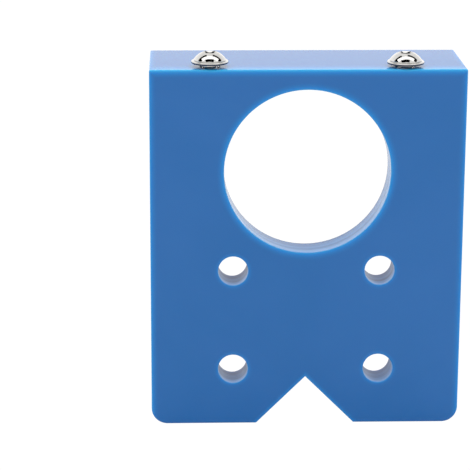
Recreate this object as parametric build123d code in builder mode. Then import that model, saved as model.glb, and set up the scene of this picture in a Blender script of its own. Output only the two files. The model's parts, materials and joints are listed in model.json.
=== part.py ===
from build123d import *
from math import isclose, radians, sqrt, tan
import os

# Hinge drilling jig, in millimetres.
# +X is to the right as the user faces the plate, +Y runs back over the board and +Z is up.
# The jig stands on the two feet of its plate, with the origin at floor level, in the middle
# of its width and of its depth.

# Plate and lip
block_width = 68.0
plate_thickness = 8.0
lip_thickness = 7.5
lip_reach = 16.0
foot_corner_radius = 3.5
edge_break = 0.35

# Cutter guide hole
cutter_diameter = 35.0
cutter_clearance = 0.5
cutter_centre_drop = 22.4
lip_relief = 0.5

# Small guide holes, two rows of two
small_hole_diameter = 6.5
small_hole_spacing = 32.0
first_row_setback = 37.0
row_spacing = 22.5
last_row_height = 12.7

# V notch that shows the centre line
notch_depth = 10.8
notch_angle = 90.0

# Screws in the top face
screw_diameter = 4.0
screw_length = 10.0
screw_offset = 21.0
screw_running_clearance = 0.05
screw_hole_depth = 12.0
screw_hole_lead_in = 0.3
tip_chamfer = 0.5
head_diameter = 7.0
head_height = 2.1
head_rim = 0.2
socket_width = 2.5
socket_depth = 1.3
socket_chamfer = 0.15

# Washers under the screw heads
washer_diameter = 8.0
washer_thickness = 0.6
washer_hole_diameter = 4.3
washer_edge_break = 0.2

# Height of each washer above the top face, as each screw was left
screw_gaps = {"left": 0.8, "right": 0.6}

# Places that follow from the sizes
block_depth = plate_thickness + lip_reach
front_y = -block_depth / 2
plate_back_y = front_y + plate_thickness
lip_back_y = front_y + block_depth
screw_y = front_y + plate_thickness / 2
first_row_z = last_row_height + row_spacing
lip_under_z = first_row_z + first_row_setback
top_z = lip_under_z + lip_thickness
cutter_z = top_z - cutter_centre_drop
rows_middle_z = (first_row_z + last_row_height) / 2
cutter_hole_radius = cutter_diameter / 2 + cutter_clearance
notch_side = 90 - notch_angle / 2
notch_width = 2 * notch_depth / tan(radians(notch_side))

# Dome of the screw head and mouth of its socket
screw_radius = screw_diameter / 2
head_radius = head_diameter / 2
dome_height = head_height - head_rim
dome_radius = (head_radius**2 + dome_height**2) / (2 * dome_height)
mouth_radius = socket_width / sqrt(3) + socket_chamfer
mouth_drop = dome_radius - sqrt(dome_radius**2 - mouth_radius**2)

# Upright planes that face the user, at the front of the plate and at its back
front_plane = Plane(origin=(0, front_y, 0), x_dir=(1, 0, 0), z_dir=(0, -1, 0))
back_plane = Plane(origin=(0, plate_back_y, 0), x_dir=(1, 0, 0), z_dir=(0, -1, 0))

os.makedirs("parts", exist_ok=True)


def edges_at(builder, axis, position):
    """Edges whose middle lies at one position along an axis."""
    return builder.edges().filter_by_position(axis, position, position)


# Guide block
with BuildPart() as guide_block:
    # L section of plate and lip, drawn from the side and run across the width
    with BuildSketch(Plane.YZ):
        with BuildLine():
            Polyline(
                (front_y, 0),
                (plate_back_y, 0),
                (plate_back_y, lip_under_z),
                (lip_back_y, lip_under_z),
                (lip_back_y, top_z),
                (front_y, top_z),
                close=True,
            )
        make_face()
    extrude(amount=block_width / 2, both=True)

    # Round corners of the feet
    foot_corners = guide_block.edges().filter_by(Axis.Y).group_by(Axis.Z)[0]
    fillet(foot_corners, radius=foot_corner_radius)

    # V notch between the feet
    with BuildSketch(front_plane):
        with Locations((0, notch_depth)):
            Triangle(a=notch_width, B=notch_side, C=notch_side, align=(Align.CENTER, Align.MAX))
    extrude(amount=-plate_thickness, mode=Mode.SUBTRACT)

    # Cutter guide hole through the plate
    with BuildSketch(front_plane):
        with Locations((0, cutter_z)):
            Circle(cutter_hole_radius)
    extrude(amount=-plate_thickness, mode=Mode.SUBTRACT)

    # Relief in the lip, a little larger, so that the plate alone guides the cutter
    with BuildSketch(back_plane):
        with Locations((0, cutter_z)):
            Circle(cutter_hole_radius + lip_relief)
    extrude(amount=-lip_reach, mode=Mode.SUBTRACT)

    # Small guide holes
    with BuildSketch(front_plane):
        with Locations((0, rows_middle_z)):
            with GridLocations(small_hole_spacing, row_spacing, 2, 2):
                Circle(small_hole_diameter / 2)
    extrude(amount=-plate_thickness, mode=Mode.SUBTRACT)

    # Chamfered mouths of the guide holes, at the front and at the back of the plate
    for rim_y in (front_y, plate_back_y):
        rims = edges_at(guide_block, Axis.Y, rim_y).filter_by(GeomType.CIRCLE)
        guide_radii = (cutter_hole_radius, small_hole_diameter / 2)
        guide_rims = rims.filter_by(lambda rim: any(isclose(rim.radius, radius) for radius in guide_radii))
        chamfer(guide_rims, length=edge_break)

    # Rounded edges: the sides of the top face, then the outline of the front face with its notch
    top_sides = edges_at(guide_block, Axis.Z, top_z).filter_by(Axis.Y)
    fillet(top_sides, radius=edge_break)
    front_face = guide_block.faces().sort_by(Axis.Y)[0]
    fillet(front_face.outer_wire().edges(), radius=edge_break)

    # The back of the plate, up to the corner under the lip
    plate_back = guide_block.faces().filter_by(Axis.Y).filter_by_position(Axis.Y, plate_back_y, plate_back_y)
    plate_outline = plate_back.sort_by(SortBy.AREA)[-1].outer_wire().edges()
    fillet(plate_outline.filter_by_position(Axis.Z, 0, lip_under_z - edge_break), radius=edge_break)

    # The lip: its lower sides, then its back face with the mouth of the relief
    lower_edges = edges_at(guide_block, Axis.Z, lip_under_z).filter_by(Axis.Y).group_by(Axis.X)
    fillet(lower_edges[0] + lower_edges[-1], radius=edge_break)
    fillet(edges_at(guide_block, Axis.Y, lip_back_y), radius=edge_break)

    # Screw holes in the top face, with a small lead-in
    screw_hole_radius = screw_radius + screw_running_clearance
    with Locations((-screw_offset, screw_y, top_z), (screw_offset, screw_y, top_z)):
        CounterSinkHole(
            radius=screw_hole_radius,
            counter_sink_radius=screw_hole_radius + screw_hole_lead_in,
            depth=screw_hole_depth,
            counter_sink_angle=90,
        )
guide_block.part.label = "guide_block"
export_step(guide_block.part, "parts/guide_block.step")


# Screws and their washers, one pair on each side
for side, direction in (("left", -1), ("right", 1)):
    screw_x = direction * screw_offset
    washer_z = top_z + screw_gaps[side]
    head_z = washer_z + washer_thickness
    screw_axis = Axis((screw_x, screw_y, 0), (0, 0, 1))

    with BuildPart() as washer:
        with BuildSketch(Plane((screw_x, screw_y, washer_z))):
            Circle(washer_diameter / 2)
            Circle(washer_hole_diameter / 2, mode=Mode.SUBTRACT)
        extrude(amount=washer_thickness)
        outer_rims = washer.edges().filter_by(GeomType.CIRCLE).group_by(SortBy.RADIUS)[-1]
        chamfer(outer_rims, length=washer_edge_break)
    washer.part.label = side + "_washer"
    export_step(washer.part, "parts/" + side + "_washer.step")

    with BuildPart() as screw:
        # Half section of head and shank, turned about the screw's axis
        with BuildSketch(Plane((screw_x, screw_y, head_z), x_dir=(1, 0, 0), z_dir=(0, -1, 0))):
            with BuildLine():
                Polyline(
                    (0, head_height),
                    (0, -screw_length),
                    (screw_radius - tip_chamfer, -screw_length),
                    (screw_radius, tip_chamfer - screw_length),
                    (screw_radius, 0),
                    (head_radius, 0),
                    (head_radius, head_rim),
                )
                TangentArc((0, head_height), (head_radius, head_rim), tangent=(1, 0))
            make_face()
        revolve(axis=screw_axis)

        # Hexagon socket
        with BuildSketch(Plane((screw_x, screw_y, head_z + head_height))):
            RegularPolygon(radius=socket_width / 2, side_count=6, major_radius=False)
        extrude(amount=-socket_depth, mode=Mode.SUBTRACT)

        # Cone that breaks the socket's mouth and leaves the drill point at its bottom
        with Locations((screw_x, screw_y, head_z + head_height)):
            Cone(
                bottom_radius=0,
                top_radius=mouth_radius + mouth_drop,
                height=mouth_radius + mouth_drop,
                align=(Align.CENTER, Align.CENTER, Align.MAX),
                mode=Mode.SUBTRACT,
            )
    screw.part.label = side + "_screw"
    export_step(screw.part, "parts/" + side + "_screw.step")
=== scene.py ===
"""Hinge drilling jig: a blue plastic guide block with two adjusting screws, dressed for a studio picture."""

import json
from math import atan2, ceil, cos, hypot, pi, radians, sin, sqrt, tan

import bmesh
import bpy
from bpy.props import FloatProperty, FloatVectorProperty, IntProperty, PointerProperty
from mathutils import Matrix, Vector


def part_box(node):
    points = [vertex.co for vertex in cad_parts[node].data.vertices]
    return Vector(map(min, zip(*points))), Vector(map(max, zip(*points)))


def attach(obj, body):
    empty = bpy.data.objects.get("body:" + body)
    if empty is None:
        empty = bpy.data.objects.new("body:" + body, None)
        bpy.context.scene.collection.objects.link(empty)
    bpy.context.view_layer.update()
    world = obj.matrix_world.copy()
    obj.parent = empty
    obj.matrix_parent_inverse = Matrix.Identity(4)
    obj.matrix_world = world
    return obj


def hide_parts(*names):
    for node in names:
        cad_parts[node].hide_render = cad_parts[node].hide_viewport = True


bl_info = {
    "name": "Hinge Drilling Jig",
    "version": (1, 0, 0),
    "blender": (4, 5, 0),
    "location": "View3D > Sidebar > Drilling Jig",
    "description": "Builds a translucent plastic drilling jig with its adjusting screws and washers",
    "category": "Add Mesh",
}

MM = 0.001
SIDES = ("left", "right")
BLACK = (0.0, 0.0, 0.0)

# Points nearer to each other than this, in metres, count as one
SAME_PLACE = 1e-6

# Just over full white, so that the picture shows the floor and the backdrop as plain white
PLAIN_WHITE = 1.03

# Lamp over the jig: place, width and depth in metres, power in watts
LAMP_PLACE = (0.0, 0.1, 0.95)
LAMP_SIZE = (1.2, 0.8)
LAMP_POWER = 4.1

# Level panels over the jig that its metal mirrors: name, place, width and depth in metres, brightness
CARDS = (
    ("softbox", (0.01, -0.05, 0.90), (1.36, 0.34), 1.5),
    ("left_flag", (-0.88, 0.10, 0.92), (0.50, 0.56), 0.0),
    ("right_flag", (0.88, 0.10, 0.92), (0.46, 0.56), 0.0),
    ("left_back_flag", (-0.46, 0.24, 0.92), (0.50, 0.25), 0.0),
    ("right_back_flag", (0.46, 0.24, 0.92), (0.60, 0.25), 0.0),
    ("front_flag", (-0.04, -0.35, 0.88), (0.70, 0.30), 0.0),
)

# Share of the light in the plastic that comes out along each kind of edge
REAR_GLOW = 0.2
SIDE_GLOW = 0.45
LARGE_HOLE_GLOW = 0.55
SMALL_HOLE_GLOW = 0.25
NOTCH_GLOW = 0.4

# How much further that light reaches at the sides and round the guide holes
SOFTER_REACH = 1.25

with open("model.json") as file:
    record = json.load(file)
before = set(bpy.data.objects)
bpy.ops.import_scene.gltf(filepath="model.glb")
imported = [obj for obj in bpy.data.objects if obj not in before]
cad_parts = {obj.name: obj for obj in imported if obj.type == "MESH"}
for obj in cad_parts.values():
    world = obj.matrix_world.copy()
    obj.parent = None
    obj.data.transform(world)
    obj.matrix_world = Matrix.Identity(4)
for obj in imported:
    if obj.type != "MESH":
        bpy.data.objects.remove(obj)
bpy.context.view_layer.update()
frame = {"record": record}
mounts = {mount["name"]: mount for mount in frame["record"]["mounts"]}
block_low, block_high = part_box("guide_block")

# Places on the block that follow from the frame
front_y = block_low.y
lip_back_y = block_high.y
top_z = block_high.z
half_width = block_high.x
plate_back_y = mounts["board_face"]["pos_m"][1]
lip_under_z = mounts["edge_stop"]["pos_m"][2]
large_guide = mounts["cutter_guide"]
small_guides = [mounts[row + "_" + side + "_guide"] for row in ("upper", "lower") for side in SIDES]


def guide_radius(mount):
    """Radius of a guide hole, in metres."""
    return mount["dims"]["r_mm"] * MM


class BlockSettings(bpy.types.PropertyGroup):
    """Sizes and colours of the guide block."""

    foot_radius: FloatProperty(
        name="Foot Radius", description="Rounding of the two outer corners of the feet",
        default=3.5 * MM, unit="LENGTH", precision=4)
    edge_rounding: FloatProperty(
        name="Edge Rounding", description="Small rounding of every outer edge and hole rim",
        default=0.35 * MM, unit="LENGTH", precision=5)
    lip_relief: FloatProperty(
        name="Lip Relief", description="How much wider the large hole is where it runs on through the lip",
        default=0.5 * MM, unit="LENGTH", precision=5)
    notch_depth: FloatProperty(
        name="Notch Depth", description="Height of the V notch between the feet",
        default=10.8 * MM, unit="LENGTH", precision=4)
    notch_angle: FloatProperty(
        name="Notch Angle", description="Full angle of the V notch", default=radians(90), subtype="ANGLE")
    bore_segments: IntProperty(
        name="Bore Segments", description="Flats round the large guide hole", default=192, min=24)
    plastic_colour: FloatVectorProperty(
        name="Plastic Colour", description="Colour of the plastic away from its edges",
        default=(0.005, 0.146, 0.452), size=3, subtype="COLOR", min=0, max=1)
    cloud_colour: FloatVectorProperty(
        name="Cloud Colour", description="Slightly paler colour in soft clouds through the plastic",
        default=(0.013, 0.158, 0.482), size=3, subtype="COLOR", min=0, max=1)
    near_rim_colour: FloatVectorProperty(
        name="Near Rim Colour", description="Colour of the plastic just inside its edges",
        default=(0.003, 0.240, 0.660), size=3, subtype="COLOR", min=0, max=1)
    rim_colour: FloatVectorProperty(
        name="Rim Colour", description="Brightest colour, where light comes out at the edges",
        default=(0.035, 0.450, 0.790), size=3, subtype="COLOR", min=0, max=1)
    ring_colour: FloatVectorProperty(
        name="Ring Colour", description="Paler colour of the machining rings in the guide holes",
        default=(0.080, 0.320, 0.680), size=3, subtype="COLOR", min=0, max=1)
    # Painted light: a paler band on the holes' walls just behind their front rims
    hole_mouth_light_colour: FloatVectorProperty(
        name="Hole Rim Colour", description="Pale colour of the guide holes just behind their front rims",
        default=(0.200, 0.440, 0.800), size=3, subtype="COLOR", min=0, max=1)
    # Painted shade towards the holes' back; this is also the dark tone between the machining rings
    wall_and_deep_shade_colour: FloatVectorProperty(
        name="Deep Colour", description="Darker colour of the guide holes towards their back",
        default=(0.002, 0.070, 0.250), size=3, subtype="COLOR", min=0, max=1)
    rim_reach: FloatProperty(
        name="Rim Reach", description="Distance over which the light at an edge falls to about a third",
        default=0.6 * MM, unit="LENGTH", precision=5)
    depth_reach: FloatProperty(
        name="Depth Reach", description="The same distance for light that runs back from the front face",
        default=2.1 * MM, unit="LENGTH", precision=5)


class ScrewSettings(bpy.types.PropertyGroup):
    """Sizes and colour of the adjusting screws."""

    diameter: FloatProperty(
        name="Diameter", description="Outer diameter of the thread",
        default=4.0 * MM, unit="LENGTH", precision=4)
    pitch: FloatProperty(
        name="Pitch", description="Height of one turn of the thread",
        default=0.7 * MM, unit="LENGTH", precision=5)
    head_height: FloatProperty(
        name="Head Height", description="Height of the button head",
        default=2.1 * MM, unit="LENGTH", precision=4)
    head_rim: FloatProperty(
        name="Head Rim", description="Straight part of the head below its dome",
        default=0.2 * MM, unit="LENGTH", precision=5)
    socket_width: FloatProperty(
        name="Socket Width", description="Width across the flats of the hexagon socket",
        default=2.5 * MM, unit="LENGTH", precision=4)
    socket_depth: FloatProperty(
        name="Socket Depth", description="Depth of the hexagon socket",
        default=1.3 * MM, unit="LENGTH", precision=4)
    hole_clearance: FloatProperty(
        name="Hole Clearance", description="Room round the thread in its hole",
        default=0.05 * MM, unit="LENGTH", precision=5)
    hole_depth: FloatProperty(
        name="Hole Depth", description="Depth of the screw holes in the block",
        default=12.0 * MM, unit="LENGTH", precision=4)
    hole_lead_in: FloatProperty(
        name="Hole Lead-in", description="Width of the countersink at the mouth of each screw hole",
        default=0.3 * MM, unit="LENGTH", precision=5)
    segments: IntProperty(name="Segments", description="Flats round the screw", default=96, min=24)
    metal_colour: FloatVectorProperty(
        name="Metal Colour", description="Colour of the bright plating",
        default=(0.80, 0.785, 0.755), size=3, subtype="COLOR", min=0, max=1)


class WasherSettings(bpy.types.PropertyGroup):
    """Sizes and colour of the washers."""

    hole_diameter: FloatProperty(
        name="Hole Diameter", description="Diameter of the washer's hole",
        default=4.3 * MM, unit="LENGTH", precision=4)
    edge_rounding: FloatProperty(
        name="Edge Rounding", description="Rounding that stamping leaves on the washer's edges",
        default=0.25 * MM, unit="LENGTH", precision=5)
    # Painted shade along the washer's lower edge, in place of the shadow in the gap below it
    painted_shade_height: FloatProperty(
        name="Painted Shade Height", description="Height above the washer's underside up to which dirt dulls its edge",
        default=0.36 * MM, unit="LENGTH", precision=5)
    segments: IntProperty(name="Segments", description="Flats round the washer", default=96, min=24)
    metal_colour: FloatVectorProperty(
        name="Metal Colour", description="Colour of the bright plating",
        default=(0.82, 0.805, 0.775), size=3, subtype="COLOR", min=0, max=1)


class StageSettings(bpy.types.PropertyGroup):
    """Camera, floor and light."""

    lens: FloatProperty(
        name="Lens", description="Focal length for a 36 mm sensor, in millimetres", default=156.32)
    camera_place: FloatVectorProperty(
        name="Camera Place", description="Where the camera stands", default=(-0.02816, -0.43854, 0.16062),
        size=3, subtype="TRANSLATION", unit="LENGTH")
    camera_forward: FloatVectorProperty(
        name="Camera Forward", description="Direction in which the camera looks",
        default=(0.02832, 0.96387, -0.26486), size=3, subtype="DIRECTION")
    camera_up: FloatVectorProperty(
        name="Camera Up", description="Upward direction of the picture",
        default=(0.00494, 0.26482, 0.96428), size=3, subtype="DIRECTION")
    floor_size: FloatProperty(
        name="Floor Size", description="Side of the white floor", default=3.0, unit="LENGTH")
    paper_colour: FloatVectorProperty(
        name="Paper Colour", description="Colour of the floor and backdrop",
        default=(0.60, 0.60, 0.60), size=3, subtype="COLOR", min=0, max=1)


# Shader helpers

def connect(tree, socket, value):
    """Links an output to a socket, or sets the socket's own value."""
    if isinstance(value, bpy.types.NodeSocket):
        tree.links.new(value, socket)
    else:
        socket.default_value = value


def set_inputs(tree, node, values):
    """Sets or links a node's inputs by their names, with _ for a space."""
    for name, value in values.items():
        connect(tree, node.inputs[name.replace("_", " ")], value)


def add_node(tree, kind, **inputs):
    """A shader node with the named inputs set or linked."""
    node = tree.nodes.new(kind)
    set_inputs(tree, node, inputs)
    return node


def calculate(tree, operation, first, second=None, third=None):
    """The output of a Math node."""
    node = add_node(tree, "ShaderNodeMath")
    node.operation = operation
    for socket, value in zip(node.inputs, (first, second, third)):
        if value is not None:
            connect(tree, socket, value)
    return node.outputs[0]


def add_layers(tree, base, layers):
    """A base value plus each mask times its amount."""
    for mask, amount in layers:
        base = calculate(tree, "MULTIPLY_ADD", mask, amount, base)
    return base


def map_range(tree, value, from_min, from_max, to_min=0.0, to_max=1.0, smooth=False):
    """The output of a clamped Map Range node."""
    node = add_node(tree, "ShaderNodeMapRange")
    node.interpolation_type = "SMOOTHSTEP" if smooth else "LINEAR"
    set_inputs(tree, node, {"Value": value, "From Min": from_min, "From Max": from_max,
                            "To Min": to_min, "To Max": to_max})
    return node.outputs["Result"]


def mix_colour(tree, factor, first, second):
    """The colour output of a Mix node, for colours of three channels or sockets."""
    node = add_node(tree, "ShaderNodeMix")
    node.data_type = "RGBA"
    connect(tree, node.inputs["Factor"], factor)
    ends = [socket for socket in node.inputs if socket.type == "RGBA"]
    for socket, colour in zip(ends, (first, second)):
        connect(tree, socket, colour if isinstance(colour, bpy.types.NodeSocket) else (*colour, 1.0))
    return next(socket for socket in node.outputs if socket.type == "RGBA")


def noise(tree, vector, scale, detail=2.0, roughness=0.5, distortion=0.0):
    """The value of a Noise Texture node."""
    node = add_node(tree, "ShaderNodeTexNoise", Scale=scale, Detail=detail, Roughness=roughness,
                    Distortion=distortion, Vector=vector)
    return node.outputs["Fac"]


def shader_group(name, inputs, outputs):
    """An empty node group with float or vector inputs and outputs, and the sockets to use inside it."""
    group = bpy.data.node_groups.new(name, "ShaderNodeTree")
    for in_out, sockets in (("INPUT", inputs), ("OUTPUT", outputs)):
        for label, kind, default in sockets:
            socket = group.interface.new_socket(name=label, in_out=in_out, socket_type="NodeSocket" + kind)
            if default is not None:
                socket.default_value = default
    return group, group.nodes.new("NodeGroupInput").outputs, group.nodes.new("NodeGroupOutput").inputs


def place_group(tree, group, **inputs):
    """The outputs of a group placed in a material, with its named inputs set or linked."""
    node = add_node(tree, "ShaderNodeGroup")
    node.node_tree = group
    node.width = 200
    set_inputs(tree, node, inputs)
    return node.outputs


def arrange(tree):
    """Lays out a tree's nodes in columns, each node to the left of those that it feeds."""
    column = {node.name: 0 for node in tree.nodes}
    for _ in tree.nodes:
        for link in tree.links:
            fed = column[link.to_node.name]
            column[link.from_node.name] = max(column[link.from_node.name], fed + 1)
    used = {}
    for node in tree.nodes:
        steps_left = column[node.name]
        row = used[steps_left] = used.get(steps_left, -1) + 1
        node.location = (-240 * steps_left, -220 * row)


def object_coordinates(tree):
    """The place of a point on the piece, in metres."""
    return add_node(tree, "ShaderNodeTexCoord").outputs["Object"]


# Shared effects

def make_fine_wear():
    """Hairline scratches in three directions and small rubbed patches."""
    group, given, result = shader_group(
        "fine_wear",
        [("Place", "Vector", None), ("Scratch Scale", "Float", 900.0), ("Patch Scale", "Float", 60.0)],
        [("Scratches", "Float", None), ("Patches", "Float", None)])

    # Each direction is a noise drawn out along a line, and its crests are the scratches
    directions = ((0.5, 0.05), (-0.9, 0.07), (1.7, 0.04))
    crest_start, crest_end = 0.66, 0.72
    scratches = 0.0
    for turn, stretch in directions:
        along = add_node(group, "ShaderNodeMapping", Vector=given["Place"],
                         Rotation=(0.3 * turn, turn, 0.6 * turn), Scale=(1.0, 0.6, stretch))
        grain = noise(group, along.outputs[0], given["Scratch Scale"], detail=3.0, roughness=0.6,
                      distortion=0.15)
        crests = map_range(group, grain, crest_start, crest_end)
        scratches = calculate(group, "MAXIMUM", scratches, crests)

    # One slow noise gives the patches, and thins the scratches between them
    cloud = noise(group, given["Place"], given["Patch Scale"], detail=4.0, roughness=0.55)
    patches = map_range(group, cloud, 0.35, 0.75, smooth=True)
    kept = map_range(group, cloud, 0.45, 0.62)
    connect(group, result["Scratches"], calculate(group, "MULTIPLY", scratches, kept))
    connect(group, result["Patches"], patches)
    arrange(group)
    return group


def make_turning_marks():
    """Fine rings that a cutting tool leaves round an axis, which change slowly along each ring."""
    group, given, result = shader_group(
        "turning_marks",
        [("Radius", "Float", 0.0), ("Height", "Float", 0.0), ("Angle", "Float", 0.0),
         ("Rings", "Float", 6000.0)],
        [("Marks", "Float", None)])
    change_along_ring = 0.6
    rings = add_node(group, "ShaderNodeCombineXYZ",
                     X=calculate(group, "MULTIPLY", given["Radius"], given["Rings"]),
                     Y=calculate(group, "MULTIPLY", given["Height"], given["Rings"]),
                     Z=calculate(group, "MULTIPLY", given["Angle"], change_along_ring))
    fine = noise(group, rings.outputs[0], 1.0, detail=3.0, roughness=0.65)
    connect(group, result["Marks"], map_range(group, fine, 0.25, 0.75))
    arrange(group)
    return group


def make_polar_place():
    """Distance from an axis, height along it and angle round it, for a centred point.

    The angle is counted both ways from the X axis, always as a negative number, so that nothing that follows
    it breaks off at half a turn.
    """
    group, given, result = shader_group(
        "polar_place",
        [("Place", "Vector", None)],
        [("Radius", "Float", None), ("Height", "Float", None), ("Angle", "Float", None)])
    split = add_node(group, "ShaderNodeSeparateXYZ", Vector=given["Place"]).outputs
    flat = add_node(group, "ShaderNodeCombineXYZ", X=split["X"], Y=split["Y"])
    length = group.nodes.new("ShaderNodeVectorMath")
    length.operation = "LENGTH"
    connect(group, length.inputs[0], flat.outputs[0])
    connect(group, result["Radius"], length.outputs["Value"])
    connect(group, result["Height"], split["Z"])
    turn = calculate(group, "ARCTAN2", split["Y"], split["X"])
    both_ways = calculate(group, "ABSOLUTE", turn)
    connect(group, result["Angle"], calculate(group, "MULTIPLY", both_ways, -1.0))
    arrange(group)
    return group


def new_material(name):
    """A material with a Principled BSDF, its tree and that shader's inputs."""
    material = bpy.data.materials.new(name)
    material.use_nodes = True
    tree = material.node_tree
    tree.nodes.clear()
    surface = add_node(tree, "ShaderNodeBsdfPrincipled")
    output = add_node(tree, "ShaderNodeOutputMaterial")
    connect(tree, output.inputs["Surface"], surface.outputs[0])
    return material, tree, surface.inputs


def bump(tree, height, strength, distance):
    """A Bump node's normal."""
    node = add_node(tree, "ShaderNodeBump", Strength=strength, Distance=distance, Height=height)
    return node.outputs[0]


def gap_to(tree, value, level):
    """How far a value is from a level."""
    return calculate(tree, "ABSOLUTE", calculate(tree, "SUBTRACT", value, level))


def wall_distance(tree, across, up, centre, radius):
    """Distance of a point from the wall of a round hole that runs along Y."""
    side = calculate(tree, "SUBTRACT", across, centre[0])
    rise = calculate(tree, "SUBTRACT", up, centre[2])
    rise_squared = calculate(tree, "MULTIPLY", rise, rise)
    squares = calculate(tree, "MULTIPLY_ADD", side, side, rise_squared)
    return gap_to(tree, calculate(tree, "SQRT", squares), radius)


def make_block_edges(settings):
    """Light that comes out at the block's edges, and distances in metres from the guide holes' walls.

    Each wall's light is full on the wall, falls to the wall's share close to it and fades with the distance.
    A point of the surface lies on one wall, which is its brightest, so the second brightest wall is the one
    that meets it at its nearest edge.
    """
    group, given, result = shader_group(
        "block_edges",
        [("Place", "Vector", None)],
        [("Glow", "Float", None), ("Large Hole", "Float", None), ("Small Holes", "Float", None)])
    close = 0.15 * MM
    slack = 0.05 * MM
    split = add_node(group, "ShaderNodeSeparateXYZ", Vector=given["Place"]).outputs
    across, back, up = split["X"], split["Y"], split["Z"]
    off_centre = calculate(group, "ABSOLUTE", across)
    bores = [wall_distance(group, across, up, guide["pos_m"], guide_radius(guide))
             for guide in (large_guide, *small_guides)]

    # The back of the block is the plate's below the lip and the lip's above its underside
    in_lip = calculate(group, "GREATER_THAN", up, lip_under_z - slack)
    back_level = calculate(group, "MULTIPLY_ADD", in_lip, lip_back_y - plate_back_y, plate_back_y)
    in_plate = calculate(group, "LESS_THAN", back, plate_back_y + slack)
    under_lip = calculate(group, "MAXIMUM", gap_to(group, up, lip_under_z), in_plate)
    lean = settings.notch_angle / 2
    run = calculate(group, "MULTIPLY", off_centre, cos(lean))
    rise = calculate(group, "SUBTRACT", up, settings.notch_depth)
    slope = calculate(group, "MULTIPLY_ADD", rise, sin(lean), run)
    short = settings.rim_reach
    longer = SOFTER_REACH * short
    walls = [
        (calculate(group, "SUBTRACT", half_width, off_centre), SIDE_GLOW, longer),
        (gap_to(group, back, front_y), 1.0, settings.depth_reach),
        (gap_to(group, back, back_level), REAR_GLOW, short),
        (gap_to(group, up, top_z), 1.0, short),
        (under_lip, SIDE_GLOW, short),
        (calculate(group, "ABSOLUTE", slope), NOTCH_GLOW, short),
        (bores[0], LARGE_HOLE_GLOW, longer),
        *((bore, SMALL_HOLE_GLOW, longer) for bore in bores[1:]),
    ]
    brightest, second = 0.0, 0.0
    for distance, share, reach in walls:
        faded = calculate(group, "EXPONENT", calculate(group, "DIVIDE", distance, -reach))
        at_wall = map_range(group, distance, 0.0, close, 1.0, share)
        light = calculate(group, "MULTIPLY", faded, at_wall)
        dimmer = calculate(group, "MINIMUM", brightest, light)
        second = calculate(group, "MAXIMUM", second, dimmer)
        brightest = calculate(group, "MAXIMUM", brightest, light)
    small_hole = bores[1]
    for bore in bores[2:]:
        small_hole = calculate(group, "MINIMUM", small_hole, bore)
    connect(group, result["Glow"], second)
    connect(group, result["Large Hole"], bores[0])
    connect(group, result["Small Holes"], small_hole)
    arrange(group)
    return group


def make_plastic(settings, groups):
    """Translucent blue plastic: light gathers in its thin edges, and the holes show machining rings."""
    fine_wear, turning_marks, polar_place = groups
    material, tree, surface = new_material("blue_plastic")
    place = object_coordinates(tree)
    edges = place_group(tree, make_block_edges(settings), Place=place)
    flow = noise(tree, place, 28.0, detail=3.0, roughness=0.5, distortion=0.6)
    clouds = map_range(tree, flow, 0.3, 0.7)
    body = mix_colour(tree, clouds, settings.plastic_colour, settings.cloud_colour)

    # Faint light gives the colour near the rims, and strong light goes on from there to the rims' own
    faint, strong = 0.06, 0.30
    near_rim = map_range(tree, edges["Glow"], faint, strong)
    at_rim = map_range(tree, edges["Glow"], strong, 1.0)
    colour = mix_colour(tree, near_rim, body, settings.near_rim_colour)
    colour = mix_colour(tree, at_rim, colour, settings.rim_colour)

    # The rings lie round each hole's own axis, so depth through the plate is enough to draw them
    upright = add_node(tree, "ShaderNodeMapping", Vector=place, Rotation=(radians(90), 0, 0))
    polar = place_group(tree, polar_place, Place=upright.outputs[0])
    marks = place_group(tree, turning_marks, Height=polar["Height"], Angle=polar["Angle"],
                        Rings=700.0)["Marks"]
    on_wall = 0.12 * MM
    in_large_hole = map_range(tree, edges["Large Hole"], 0.0, on_wall, 1.0, 0.0)
    in_small_hole = map_range(tree, edges["Small Holes"], 0.0, on_wall, 1.0, 0.0)
    in_bore = calculate(tree, "MAXIMUM", in_large_hole, in_small_hole)

    # Painted light and shade in the holes: the walls are painted pale just behind the rim, darker towards the
    # back, and darkest in the small holes
    shade_start = front_y + 0.8 * MM
    mouth_light_start, mouth_light_end = front_y + 0.6 * MM, front_y + 3.0 * MM
    shade_step = -0.35
    depth = map_range(tree, polar["Height"], shade_start, plate_back_y)
    paler = map_range(tree, add_layers(tree, marks, [(depth, shade_step)]), 0.0, 0.6, 0.25, 1.0)
    paler = add_layers(tree, paler, [(in_small_hole, shade_step)])
    wall = mix_colour(tree, paler, settings.wall_and_deep_shade_colour, settings.ring_colour)
    mouth_light = map_range(tree, polar["Height"], mouth_light_start, mouth_light_end, 1.0, 0.0)
    wall = mix_colour(tree, mouth_light, wall, settings.hole_mouth_light_colour)
    connect(tree, surface["Base Color"], mix_colour(tree, in_bore, colour, wall))

    wear = place_group(tree, fine_wear, Place=place, Scratch_Scale=420.0, Patch_Scale=45.0)
    smoothest = 0.11
    connect(tree, surface["Roughness"], add_layers(tree, smoothest, [
        (wear["Patches"], 0.05), (wear["Scratches"], 0.04), (in_bore, 0.04), (in_small_hole, 0.16),
    ]))
    rings = calculate(tree, "MULTIPLY", marks, in_bore)
    skin = noise(tree, place, 1300.0, detail=2.0)
    height = add_layers(tree, rings, [(skin, 0.10), (wear["Scratches"], -0.06)])
    connect(tree, surface["Normal"], bump(tree, height, 0.25, 0.02 * MM))
    surface["IOR"].default_value = 1.5
    surface["Subsurface Weight"].default_value = 0.35
    surface["Subsurface Radius"].default_value = (0.35, 0.75, 1.0)
    surface["Subsurface Scale"].default_value = 1.6 * MM
    arrange(tree)
    return material


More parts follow.
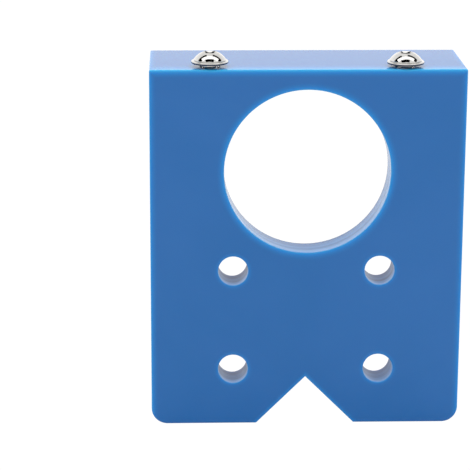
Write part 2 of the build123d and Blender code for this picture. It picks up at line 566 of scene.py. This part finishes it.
def make_plating(name, colour, middle, groups, shade_below=-1.0, shade_inside=0.0):
    """Bright plating over turned steel, with rings round the piece's axis and hairline scratches.

    Painted shade darkens and dulls the metal below one height, and inside a hexagon socket within one radius,
    most in its corners, both in metres from the middle given. By default there is none.
    """
    fine_wear, turning_marks, polar_place = groups
    material, tree, surface = new_material(name)
    place = object_coordinates(tree)
    centred = add_node(tree, "ShaderNodeMapping", Vector=place,
                       Location=(-middle[0], -middle[1], -middle[2])).outputs[0]
    polar = place_group(tree, polar_place, Place=centred)
    marks = place_group(tree, turning_marks, Radius=polar["Radius"], Height=polar["Height"],
                        Angle=polar["Angle"], Rings=9000.0)["Marks"]
    wear = place_group(tree, fine_wear, Place=centred, Scratch_Scale=1600.0, Patch_Scale=500.0)
    rubbed = [channel * 0.9 for channel in colour]
    tint = mix_colour(tree, wear["Patches"], colour, rubbed)

    # Painted shade: the washer's lower edge and the socket's inside are darkened and dulled.
    # The socket's corners lie every 60 degrees from the X axis
    soft = 0.04 * MM
    corner_start, corner_end = radians(4), radians(12)
    in_corner, on_flat = 0.97, 0.12
    painted_shade_colour = (0.02, 0.03, 0.06)
    underside = map_range(tree, polar["Height"], shade_below - soft, shade_below + soft, 0.95, 0.0)
    inside = map_range(tree, polar["Radius"], shade_inside, shade_inside + 2 * soft, 1.0, 0.0)
    from_corner = calculate(tree, "PINGPONG", polar["Angle"], radians(30))
    corner = map_range(tree, from_corner, corner_start, corner_end, in_corner, on_flat)
    inside = calculate(tree, "MULTIPLY", inside, corner)
    painted_shade = calculate(tree, "MAXIMUM", underside, inside)
    connect(tree, surface["Base Color"], mix_colour(tree, painted_shade, tint, painted_shade_colour))

    smoothest = 0.04
    connect(tree, surface["Roughness"], add_layers(tree, smoothest, [
        (marks, 0.02), (wear["Scratches"], 0.12), (painted_shade, 0.3),
    ]))
    height = add_layers(tree, marks, [(wear["Scratches"], -0.5)])
    connect(tree, surface["Normal"], bump(tree, height, 0.06, 0.01 * MM))
    surface["Metallic"].default_value = 1.0
    arrange(tree)
    return material


def make_glow(name):
    """A matt material that gives off white light, its tree and its shader's inputs."""
    material, tree, surface = new_material(name)
    surface["Specular IOR Level"].default_value = 0.0
    surface["Emission Color"].default_value = (1.0, 1.0, 1.0, 1.0)
    arrange(tree)
    return material, tree, surface


# Mesh helpers

def verts_in(result):
    """The vertices that a bmesh operator made."""
    return [item for item in result["geom"] if isinstance(item, bmesh.types.BMVert)]


def extrude_outline(bm, corners, travel):
    """A prism over a flat outline of points, pushed along a vector."""
    outline = bm.faces.new([bm.verts.new(corner) for corner in corners])
    moved = verts_in(bmesh.ops.extrude_face_region(bm, geom=[outline]))
    bmesh.ops.translate(bm, vec=travel, verts=moved)
    bmesh.ops.recalc_face_normals(bm, faces=bm.faces)


def bevel_edges(bm, edges, width, segments):
    """Rounds edges by an equal width on both sides."""
    bmesh.ops.bevel(bm, geom=edges, offset=width, offset_type="OFFSET", segments=segments, profile=0.5,
                    affect="EDGES", clamp_overlap=False, material=-1)


def spin_round(bm, steps):
    """Spins the whole section once round the Z axis, and closes it."""
    bmesh.ops.spin(bm, geom=bm.verts[:] + bm.edges[:], cent=(0, 0, 0), axis=(0, 0, 1), angle=2 * pi,
                   steps=steps, use_merge=True)
    bmesh.ops.remove_doubles(bm, verts=bm.verts, dist=SAME_PLACE)


def as_object(bm, name):
    """Turns a bmesh into a linked object of that name, and frees it."""
    mesh = bpy.data.meshes.new(name)
    bm.to_mesh(mesh)
    bm.free()
    piece = bpy.data.objects.new(name, mesh)
    bpy.context.scene.collection.objects.link(piece)
    return piece


def cut_away(piece, cuts):
    """Subtracts each cut from the piece in turn, and deletes the cuts."""
    for cut in cuts:
        boolean = piece.modifiers.new(cut.name, "BOOLEAN")
        boolean.operation = "DIFFERENCE"
        boolean.solver = "EXACT"
        boolean.object = cut
    graph = bpy.context.evaluated_depsgraph_get()
    left_over = bpy.data.meshes.new_from_object(piece.evaluated_get(graph))
    piece.modifiers.clear()
    uncut = piece.data
    piece.data = left_over
    bpy.data.meshes.remove(uncut)
    for cut in cuts:
        mesh = cut.data
        bpy.data.objects.remove(cut)
        bpy.data.meshes.remove(mesh)


def round_cut(name, place, axis, length, radius, end_radius=None, segments=64):
    """A round form to cut away, which starts at a place and runs along an axis."""
    bm = bmesh.new()
    bmesh.ops.create_cone(bm, cap_ends=True, segments=segments, radius1=radius,
                          radius2=radius if end_radius is None else end_radius, depth=length)
    bmesh.ops.translate(bm, vec=(0, 0, length / 2), verts=bm.verts)
    turn = Vector((0, 0, 1)).rotation_difference(Vector(axis)).to_matrix()
    bmesh.ops.rotate(bm, cent=(0, 0, 0), matrix=turn, verts=bm.verts)
    bmesh.ops.translate(bm, vec=place, verts=bm.verts)
    return as_object(bm, name)


def finish_piece(piece, material, body, node, sharp_from=None):
    """Gives a piece its material, shading and body, and lets it stand for a node of the frame."""
    piece.data.materials.append(material)
    piece.data.shade_smooth()
    if sharp_from is not None:
        piece.data.set_sharp_from_angle(angle=sharp_from)
    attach(piece, body)
    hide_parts(node)


def group_of(name, make):
    """A shared node group, built the first time that it is asked for."""
    return bpy.data.node_groups.get(name) or make()


def shared_groups():
    """The groups for wear, for turning marks and for the place round an axis."""
    return (group_of("fine_wear", make_fine_wear), group_of("turning_marks", make_turning_marks),
            group_of("polar_place", make_polar_place))


def screw_seat(side):
    """The point on a screw's axis where its head meets its washer."""
    low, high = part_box(side + "_screw")
    return Vector(((low.x + high.x) / 2, (low.y + high.y) / 2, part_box(side + "_washer")[1].z))


class JIG_OT_guide_block(bpy.types.Operator):
    """Add the L-shaped guide block with its holes and notch"""

    bl_idname = "mesh.jig_guide_block"
    bl_label = "Add Guide Block"
    bl_options = {"REGISTER", "UNDO"}

    def execute(self, context):
        settings = context.scene.jig_block
        screws = context.scene.jig_screws
        bm = bmesh.new()
        section = [(front_y, 0), (plate_back_y, 0), (plate_back_y, lip_under_z), (lip_back_y, lip_under_z),
                   (lip_back_y, top_z), (front_y, top_z)]
        extrude_outline(bm, [(-half_width, y, z) for y, z in section], (2 * half_width, 0, 0))
        foot_corners = [edge for edge in bm.edges if all(vert.co.z < SAME_PLACE for vert in edge.verts)
                        and abs(edge.verts[0].co.x - edge.verts[1].co.x) < SAME_PLACE]
        bevel_edges(bm, foot_corners, settings.foot_radius, 16)
        block = as_object(bm, "guide_block_body")
        cut_away(block, self.cuts(settings, screws))

        bm = bmesh.new()
        bm.from_mesh(block.data)
        bmesh.ops.remove_doubles(bm, verts=bm.verts, dist=SAME_PLACE)
        rounded = [edge for edge in bm.edges if self.is_outer_edge(edge)]
        bevel_edges(bm, rounded, settings.edge_rounding, 3)
        bm.to_mesh(block.data)
        bm.free()
        weighted = block.modifiers.new("even_shading", "WEIGHTED_NORMAL")
        weighted.keep_sharp = True
        finish_piece(block, make_plastic(settings, shared_groups()), "block", "guide_block")
        return {"FINISHED"}

    def cuts(self, settings, screws):
        """The notch, the large hole with its relief, the small holes and the screw holes."""
        past = 1 * MM
        through_plate = plate_back_y - front_y + 2 * past
        backwards = (0, 1, 0)
        downwards = (0, 0, -1)
        bm = bmesh.new()
        reach = (settings.notch_depth + past) * tan(settings.notch_angle / 2)
        notch = [(-reach, front_y - past, -past), (0, front_y - past, settings.notch_depth),
                 (reach, front_y - past, -past)]
        extrude_outline(bm, notch, (0, through_plate, 0))
        made = [as_object(bm, "notch")]
        x, _, z = large_guide["pos_m"]
        radius = guide_radius(large_guide)
        made.append(round_cut("large_hole", (x, front_y - past, z), backwards, through_plate, radius,
                              segments=settings.bore_segments))
        made.append(round_cut("lip_relief", (x, plate_back_y, z), backwards, lip_back_y - plate_back_y + past,
                              radius + settings.lip_relief, segments=settings.bore_segments))
        for guide in small_guides:
            x, _, z = guide["pos_m"]
            made.append(round_cut(guide["name"], (x, front_y - past, z), backwards, through_plate,
                                  guide_radius(guide), segments=settings.bore_segments // 2))
        hole_radius = screws.diameter / 2 + screws.hole_clearance
        lead_in = screws.hole_lead_in
        for side in SIDES:
            x, y, _ = screw_seat(side)
            mouth = (x, y, top_z + past)
            made.append(round_cut(side + "_screw_hole", mouth, downwards, screws.hole_depth + past,
                                  hole_radius))
            made.append(round_cut(side + "_lead_in", mouth, downwards, past + lead_in,
                                  hole_radius + lead_in + past, hole_radius))
        return made

    def is_outer_edge(self, edge):
        """Whether an edge is an outer edge or the rim of a guide hole, and so is rounded."""
        least_turn = radians(60)
        inset = 0.1 * MM
        if not edge.is_manifold or edge.calc_face_angle_signed() < least_turn:
            return False
        screw_hole_rim = all(abs(vert.co.z - top_z) < SAME_PLACE
                             and front_y + inset < vert.co.y < lip_back_y - inset for vert in edge.verts)
        return not screw_hole_rim


class JIG_OT_screws(bpy.types.Operator):
    """Add the two button head screws, each with its thread and hexagon socket"""

    bl_idname = "mesh.jig_screws"
    bl_label = "Add Screws"
    bl_options = {"REGISTER", "UNDO"}

    def execute(self, context):
        settings = context.scene.jig_screws
        for side in SIDES:
            low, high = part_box(side + "_screw")
            seat = screw_seat(side)
            bm = bmesh.new()
            self.add_head(bm, settings, (high.x - low.x) / 2)
            self.add_thread(bm, settings, low.z - seat.z)
            bmesh.ops.translate(bm, vec=seat, verts=bm.verts)
            piece = as_object(bm, side + "_button_screw")
            # Shade is painted inside the socket, darkest in its corners
            material = make_plating(side + "_screw_plating", settings.metal_colour, seat, shared_groups(),
                                    shade_inside=self.corner_radius(settings))
            finish_piece(piece, material, side + "_screw", side + "_screw",
                         sharp_from=radians(32))
        return {"FINISHED"}

    def corner_radius(self, settings):
        """Distance of the socket's corners from its axis."""
        return settings.socket_width / sqrt(3)

    def add_head(self, bm, settings, head_radius):
        """Domed head about the Z axis, with its seat at height 0, and its hexagon socket."""
        socket_chamfer = 0.15 * MM
        rim_rounding = 0.12 * MM
        inner_radius = settings.diameter / 2 - 0.1 * MM
        top = settings.head_height
        dome_height = top - settings.head_rim
        dome_radius = (head_radius**2 + dome_height**2) / (2 * dome_height)
        mouth_radius = self.corner_radius(settings) + socket_chamfer
        mouth_turn = atan2(mouth_radius, sqrt(dome_radius**2 - mouth_radius**2))
        rim_turn = atan2(head_radius, dome_radius - dome_height)
        mouth = bm.verts.new((mouth_radius, 0, top - dome_radius * (1 - cos(mouth_turn))))

        # Dome as an arc from the socket's mouth down to the rim
        bmesh.ops.spin(bm, geom=[mouth], cent=(0, 0, top - dome_radius), axis=(0, 1, 0),
                       angle=rim_turn - mouth_turn, steps=20)
        last = max(bm.verts, key=lambda vert: vert.co.x)

        # Straight rim, its rounded lower corner and the seat
        points = [(head_radius, rim_rounding * 1.2), (head_radius - rim_rounding * 0.3, rim_rounding * 0.35),
                  (head_radius - rim_rounding, 0), (inner_radius, 0)]
        for x, z in points:
            new = bm.verts.new((x, 0, z))
            bm.edges.new((last, new))
            last = new
        spin_round(bm, settings.segments)
        mouth_edges = [edge for edge in bm.edges
                       if edge.is_boundary and edge.verts[0].co.z > settings.head_rim]
        self.add_socket(bm, settings, mouth_edges, mouth_radius)
        bmesh.ops.recalc_face_normals(bm, faces=bm.faces)

    def add_socket(self, bm, settings, mouth_edges, mouth_radius):
        """Runs the round mouth into a hexagon, down its walls and to the cone at its bottom."""
        cone_share = 0.82
        cone_depth = 0.35 * MM
        mouth_height = mouth_edges[0].verts[0].co.z
        flat = settings.socket_width / 2
        floor = settings.head_height - settings.socket_depth

        def hexagon(vert):
            turn = atan2(vert.co.y, vert.co.x) % (pi / 3) - pi / 6
            return flat / cos(turn)

        def loop_down(edges, reach, height):
            made = bmesh.ops.extrude_edge_only(bm, edges=edges)
            for vert in verts_in(made):
                radius = reach(vert)
                new_height = height(vert, radius)
                vert.co = Vector((vert.co.x, vert.co.y, 0)).normalized() * radius
                vert.co.z = new_height
            return [item for item in made["geom"]
                    if isinstance(item, bmesh.types.BMEdge) and item.is_boundary]

        bevelled = loop_down(mouth_edges, hexagon,
                             lambda vert, radius: mouth_height - (mouth_radius - radius))
        bottom = loop_down(bevelled, hexagon, lambda vert, radius: floor)
        cone = loop_down(bottom, lambda vert: flat * cone_share, lambda vert, radius: floor)
        face = bmesh.ops.contextual_create(bm, geom=cone)["faces"]
        centre = bmesh.ops.poke(bm, faces=face)["verts"]
        bmesh.ops.translate(bm, vec=(0, 0, -cone_depth), verts=centre)

    def add_thread(self, bm, settings, tip_height):
        """Rolled thread below the head: a profile turned about the axis while it climbs by its pitch."""
        thread_depth = 0.61 * settings.pitch
        below_head = 0.02 * MM
        chamfer = 0.5 * MM
        neck = 0.5 * MM
        bare_neck = 0.6 * neck
        outer = settings.diameter / 2
        root = outer - thread_depth

        # One turn's root, crest and flanks: height in pitches, and radius
        profile = ((0.0, root), (0.06, root), (0.42, outer), (0.55, outer), (0.92, root))
        turns = ceil(-tip_height / settings.pitch) + 2
        points = [(share + turn, radius) for turn in range(turns) for share, radius in profile]
        points.append((turns, root))

        # The thread starts below the tip, by so much that the cut there misses the corners of the profile
        start_height = tip_height - 1.32 * settings.pitch
        thread = bmesh.new()
        verts = [thread.verts.new((radius, 0, start_height + height * settings.pitch))
                 for height, radius in points]
        for one, other in zip(verts, verts[1:]):
            thread.edges.new((one, other))
        steps = settings.segments // 2
        bmesh.ops.spin(thread, geom=thread.verts[:] + thread.edges[:], cent=(0, 0, 0), axis=(0, 0, 1),
                       dvec=(0, 0, settings.pitch / steps), angle=2 * pi, steps=steps)
        bmesh.ops.remove_doubles(thread, verts=thread.verts, dist=SAME_PLACE)
        for height, direction in ((tip_height, -1), (-below_head, 1)):
            bmesh.ops.bisect_plane(thread, geom=thread.verts[:] + thread.edges[:] + thread.faces[:],
                                   plane_co=(0, 0, height), plane_no=(0, 0, direction), clear_outer=True)
        for vert in thread.verts:
            radius = hypot(vert.co.x, vert.co.y)
            allowed = outer - chamfer + (vert.co.z - tip_height)
            if vert.co.z > -neck:
                allowed = root + max(0.0, -vert.co.z - bare_neck)
            if radius > allowed:
                vert.co.x *= allowed / radius
                vert.co.y *= allowed / radius
        tip_edges = [edge for edge in thread.edges if edge.is_boundary and
                     all(vert.co.z < tip_height + SAME_PLACE for vert in edge.verts)]
        bmesh.ops.contextual_create(thread, geom=tip_edges)
        bmesh.ops.recalc_face_normals(thread, faces=thread.faces)
        mesh = bpy.data.meshes.new("thread")
        thread.to_mesh(mesh)
        thread.free()
        bm.from_mesh(mesh)
        bpy.data.meshes.remove(mesh)

        # Underside of the head, from its inner edge to the thread
        bmesh.ops.bridge_loops(bm, edges=[edge for edge in bm.edges if edge.is_boundary])
        bmesh.ops.recalc_face_normals(bm, faces=bm.faces)


class JIG_OT_washers(bpy.types.Operator):
    """Add the stamped washers under the screw heads"""

    bl_idname = "mesh.jig_washers"
    bl_label = "Add Washers"
    bl_options = {"REGISTER", "UNDO"}

    def execute(self, context):
        settings = context.scene.jig_washers
        for side in SIDES:
            low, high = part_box(side + "_washer")
            middle = (low + high) / 2
            outer = (high.x - low.x) / 2
            thickness = high.z - low.z
            bm = bmesh.new()
            inner = settings.hole_diameter / 2
            section = [(inner, 0, -thickness / 2), (outer, 0, -thickness / 2), (outer, 0, thickness / 2),
                       (inner, 0, thickness / 2)]
            bm.faces.new([bm.verts.new(corner) for corner in section])
            bmesh.ops.bevel(bm, geom=bm.verts[:], offset=settings.edge_rounding, segments=5, profile=0.5,
                            affect="VERTICES", clamp_overlap=False, material=-1)
            bmesh.ops.delete(bm, geom=bm.faces[:], context="FACES_ONLY")
            spin_round(bm, settings.segments)
            bmesh.ops.recalc_face_normals(bm, faces=bm.faces)
            bmesh.ops.translate(bm, vec=middle, verts=bm.verts)
            piece = as_object(bm, side + "_flat_washer")
            # Shade is painted along the washer's lower edge
            material = make_plating(side + "_washer_plating", settings.metal_colour, middle, shared_groups(),
                                    shade_below=settings.painted_shade_height - thickness / 2)
            finish_piece(piece, material, side + "_washer", side + "_washer",
                         sharp_from=radians(50))
        return {"FINISHED"}


class JIG_OT_stage(bpy.types.Operator):
    """Add the white floor, the lights and the camera"""

    bl_idname = "mesh.jig_stage"
    bl_label = "Add Stage"
    bl_options = {"REGISTER", "UNDO"}

    def execute(self, context):
        settings = context.scene.jig_stage
        self.add_camera(context, settings)
        self.add_floor(settings)
        self.add_lights(context)
        context.scene.view_settings.view_transform = "Standard"
        return {"FINISHED"}

    def add_camera(self, context, settings):
        """The camera, turned by its forward and upward directions."""
        forward = Vector(settings.camera_forward).normalized()
        right = forward.cross(Vector(settings.camera_up)).normalized()
        up = right.cross(forward)
        data = bpy.data.cameras.new("camera")
        data.lens = settings.lens
        data.sensor_width = 36
        data.clip_start = 0.01
        data.clip_end = 20
        camera = bpy.data.objects.new("camera", data)
        turn = Matrix((right, up, -forward)).transposed().to_4x4()
        camera.matrix_world = Matrix.Translation(settings.camera_place) @ turn
        context.scene.collection.objects.link(camera)
        context.scene.camera = camera

    def add_floor(self, settings):
        """A white floor that the picture shows as plain white."""
        bm = bmesh.new()
        bmesh.ops.create_grid(bm, x_segments=2, y_segments=2, size=settings.floor_size / 2)
        floor = as_object(bm, "floor")
        material, tree, surface = make_glow("white_paper")
        place = object_coordinates(tree)
        fibres = noise(tree, place, 900.0, detail=2.0)
        paler = [channel * 1.01 for channel in settings.paper_colour]
        paper = mix_colour(tree, fibres, settings.paper_colour, paler)
        seen = add_node(tree, "ShaderNodeLightPath").outputs["Is Camera Ray"]
        connect(tree, surface["Base Color"], mix_colour(tree, seen, paper, BLACK))
        surface["Roughness"].default_value = 0.9

        # What the jig sees of the floor is dim near it, and brighter further back
        near_y, far_y = 0.10, 0.60
        near_light, far_light = 0.16, 0.50
        back = add_node(tree, "ShaderNodeSeparateXYZ", Vector=place).outputs["Y"]
        lit = map_range(tree, back, near_y, far_y, near_light, far_light)
        strength = map_range(tree, seen, 0.0, 1.0, lit, PLAIN_WHITE)
        connect(tree, surface["Emission Strength"], strength)
        arrange(tree)
        floor.data.materials.append(material)

    def add_lights(self, context):
        """A white studio, brighter low down behind the jig, with a lamp and panels overhead."""
        studio_light = 0.88
        backdrop_light = 0.27
        world = bpy.data.worlds.new("studio")
        context.scene.world = world
        world.use_nodes = True
        tree = world.node_tree
        background = tree.nodes["Background"].inputs
        direction = add_node(tree, "ShaderNodeTexCoord").outputs["Generated"]
        split = add_node(tree, "ShaderNodeSeparateXYZ", Vector=direction).outputs

        # The backdrop: towards +Y, and not far above the horizon
        behind = map_range(tree, split["Y"], -0.2, 0.7)
        low = map_range(tree, split["Z"], 0.15, 0.65, 1.0, 0.0)
        backdrop = calculate(tree, "MULTIPLY", behind, low)
        studio = add_layers(tree, studio_light, [(backdrop, backdrop_light)])
        seen = add_node(tree, "ShaderNodeLightPath").outputs["Is Camera Ray"]
        strength = map_range(tree, seen, 0.0, 1.0, studio, PLAIN_WHITE)
        connect(tree, background["Strength"], strength)
        arrange(tree)
        background["Color"].default_value = (1.0, 1.0, 1.0, 1.0)
        data = bpy.data.lights.new("overhead_lamp", "AREA")
        data.shape = "RECTANGLE"
        data.size, data.size_y = LAMP_SIZE
        data.energy = LAMP_POWER
        lamp = bpy.data.objects.new("overhead_lamp", data)
        lamp.location = LAMP_PLACE
        lamp.visible_camera = False
        lamp.visible_glossy = False
        context.scene.collection.objects.link(lamp)
        for card in CARDS:
            self.add_card(*card)

    def add_card(self, name, place, size, brightness):
        """A level panel that shows in the metal, but not in the picture."""
        bm = bmesh.new()
        bmesh.ops.create_grid(bm, x_segments=1, y_segments=1, size=0.5)
        bmesh.ops.scale(bm, vec=(*size, 1), verts=bm.verts)
        bmesh.ops.translate(bm, vec=place, verts=bm.verts)
        card = as_object(bm, name)
        material, _, surface = make_glow(name)
        surface["Base Color"].default_value = (*BLACK, 1.0)
        surface["Emission Strength"].default_value = brightness
        card.data.materials.append(material)
        card.visible_camera = False
        card.visible_diffuse = False
        card.visible_shadow = False


class JIG_PT_panel(bpy.types.Panel):
    """Sizes, colours and buttons of the drilling jig"""

    bl_label = "Hinge Drilling Jig"
    bl_idname = "JIG_PT_panel"
    bl_space_type = "VIEW_3D"
    bl_region_type = "UI"
    bl_category = "Drilling Jig"

    def draw(self, context):
        for settings_name, _, operator in PIECES:
            box = self.layout.box()
            settings = getattr(context.scene, settings_name)
            for name in settings.__annotations__:
                box.prop(settings, name)
            box.operator(operator.bl_idname)


PIECES = (
    ("jig_block", BlockSettings, JIG_OT_guide_block),
    ("jig_screws", ScrewSettings, JIG_OT_screws),
    ("jig_washers", WasherSettings, JIG_OT_washers),
    ("jig_stage", StageSettings, JIG_OT_stage),
)
CLASSES = (*(settings for _, settings, _ in PIECES), *(operator for _, _, operator in PIECES), JIG_PT_panel)


def register():
    for cls in CLASSES:
        bpy.utils.register_class(cls)
    for name, settings, _ in PIECES:
        setattr(bpy.types.Scene, name, PointerProperty(type=settings))


def unregister():
    for name, _, _ in PIECES:
        delattr(bpy.types.Scene, name)
    for cls in reversed(CLASSES):
        bpy.utils.unregister_class(cls)


def main():
    register()
    bpy.ops.mesh.jig_stage()
    bpy.ops.mesh.jig_guide_block()
    bpy.ops.mesh.jig_screws()
    bpy.ops.mesh.jig_washers()


if __name__ == "__main__":
    main()
